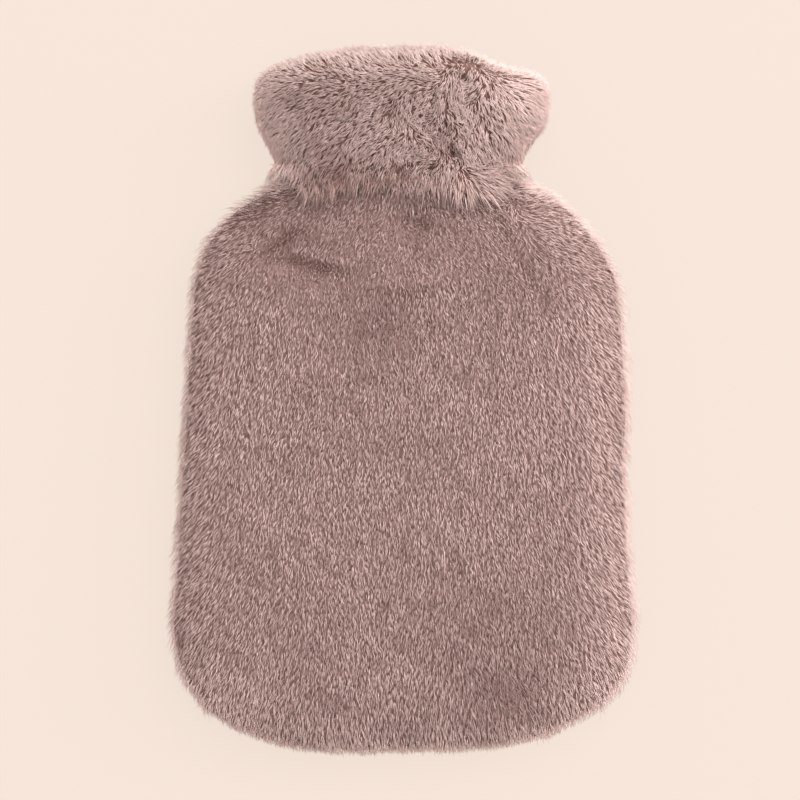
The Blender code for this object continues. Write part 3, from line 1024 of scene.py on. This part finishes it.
def make_pile(name, lock, cloth, number, coat_of, keep, finish, pieces, seed):
    """Covers a cloth's furry side with locks, split into pieces from left to right."""
    random = np.random.default_rng(seed)
    roots, normals = scatter(furry_triangles(cloth), number, random, keep)
    tuft, middle = tufts_of(roots, random)

    def uneven(by_tuft, by_lock):
        """Random differences, shared within a tuft and between single locks."""
        shared = random.normal(0, by_tuft, tuft.max() + 1)[tuft]
        return shared + random.normal(0, by_lock, number)

    coat = coat_of(roots, normals)
    # where the comb turns back on itself the pile stands up
    strength = np.minimum(np.linalg.norm(coat["comb"], axis=1), 1)
    coat["reach"] *= STANDING_REACH + (1 - STANDING_REACH) * strength
    coat["rise"] *= STANDING_RISE + (1 - STANDING_RISE) * strength
    way = unit(coat["comb"])
    astray = 1 + RUFFLED_TURN * coat["ruffled"] + STANDING_TURN * (1 - strength)
    turn = uneven(*UNEVEN_TURN) * astray
    way = way * np.cos(turn)[:, None] + np.cross(normals, way) * np.sin(turn)[:, None]

    ends = roots + way * coat["reach"][:, None]
    hollow = depth_in(roots, coat["folds"]) * coat["faces_up"]
    parted = np.maximum(hollow, depth_in(ends, coat["folds"]) * coat["faces_up"])
    draw = TUFT_DRAW * (1 - LOOSE_DRAW * coat["loose"]) * strength / coat["reach"]
    way = way + (middle - roots) * draw[:, None]
    coat["reach"] *= 1 - CREASE_REACH * parted
    coat["reach"] *= 1 + uneven(*UNEVEN_REACH) * (1 + coat["loose"])
    coat["rise"] *= 1 + uneven(*UNEVEN_RISE)
    coat["width"] *= random.uniform(*UNEVEN_WIDTH, number)
    points, folded = grow(lock[0], roots, normals, way, coat, random)
    unlike = uneven(*UNEVEN_TONE) * (1 + coat["ruffled"]) * (1 - SOFT_TONE * coat["soft"])
    # painted light and shade: locks pale up the ridges and darken down the troughs, and lack their pale
    # ends in the bottom of a trough
    tone = coat["tone"] + unlike + FOLD_LIGHT_AND_SHADE * np.clip(folded, *TONED_HEIGHTS)
    root, tip = LOCK_SPAN
    shading = np.stack([root + SOFT_ROOT * coat["soft"], tip - CREASE_SHADE * hollow])
    order = np.argsort(roots[:, 0])
    return [
        lay_mesh(f"{name}_{k + 1}", *lock, points[part], tone[part], shading[:, part], finish)
        for k, part in enumerate(np.array_split(order, pieces))
    ]


def body_keep(places, normals):
    """No pile is needed where the collar hides it."""
    return 1 - smooth_step(*UNDER_COLLAR, places[:, 1])


def collar_keep(places, normals):
    """Full pile where the collar shows from above, thinner below and in the mouth."""
    return MOUTH_SHARE + (1 - MOUTH_SHARE) * smooth_step(*SEEN_FROM_ABOVE, normals[:, 2])


# ---------------------------------------------------------------- the cover
def dress():
    """Ground cloth and pile for the front, the back and the collar."""
    pile = pile_finish()
    plush = ground_finish("plush_ground", *BODY_CLOTH)
    deep_plush = ground_finish("plush_ground_deep", *COLLAR_CLOTH)
    lock = model_lock()
    front = ground_cloth("front_panel", "front_cloth", plush, PANEL_SINK, body_shift, cuts=2)
    back = ground_cloth("back_panel", "back_cloth", plush, PANEL_SINK, body_shift, downward=True)
    collar = ground_cloth("collar", "collar_cloth", deep_plush, COLLAR_SINK, collar_shift, cuts=1)
    front_coat, back_coat = (body_coat_at(outline_of(cloth)) for cloth in (front, back))
    collar_coat = collar_coat_at(hem_of(collar))
    front_pile = make_pile(
        "front_pile", lock, front, FRONT_LOCKS, front_coat, body_keep, pile, pieces=4, seed=1
    )
    back_pile = make_pile(
        "back_pile", lock, back, BACK_LOCKS, back_coat, body_keep, pile, pieces=1, seed=2
    )
    collar_pile = make_pile(
        "collar_pile", lock, collar, COLLAR_LOCKS, collar_coat, collar_keep, pile, pieces=2, seed=3
    )
    press_folds(front, BODY_FOLDS)
    press_folds(collar, COLLAR_FOLDS)
    for cloth, node, slot, piles in (
        (front, "front_panel", "front_plush", front_pile),
        (back, "back_panel", "back_plush", back_pile),
        (collar, "collar", "collar_plush", collar_pile),
    ):
        for piece in [cloth, *piles]:
            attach(piece, "root")
        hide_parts(node)


def studio():
    """Pale floor, soft light from the upper right, and the camera over the cover."""
    bpy.ops.mesh.primitive_plane_add(size=FLOOR_SIDE)
    floor = bpy.context.object
    floor.name = "floor"
    floor.data.materials.append(paper_finish())
    world = bpy.data.worlds.new("studio")
    world.use_nodes = True
    world.node_tree.nodes["Background"].inputs["Color"].default_value = SKY
    world.node_tree.nodes["Background"].inputs["Strength"].default_value = SKY_STRENGTH
    bpy.context.scene.world = world
    for name, place, side, power in LAMPS:
        data = bpy.data.lights.new(name, "AREA")
        data.size = side
        data.energy = power
        lamp = bpy.data.objects.new(name, data)
        lamp.location = place
        lamp.rotation_euler = (-Vector(place)).to_track_quat("-Z", "Y").to_euler()
        bpy.context.scene.collection.objects.link(lamp)
    data = bpy.data.cameras.new("camera")
    data.lens = LENS
    data.sensor_width = SENSOR
    camera = bpy.data.objects.new("camera", data)
    camera.location = (
        (PICTURE_SIDE / 2 - CENTRE_PIXEL[0]) * PIXEL,
        (CENTRE_PIXEL[1] - PICTURE_SIDE / 2) * PIXEL,
        SEAM_HEIGHT + PICTURE_SIDE * PIXEL * LENS / SENSOR,
    )
    bpy.context.scene.collection.objects.link(camera)
    bpy.context.scene.camera = camera
    bpy.context.scene.view_settings.view_transform = "Standard"


deselect()
studio()
dress()
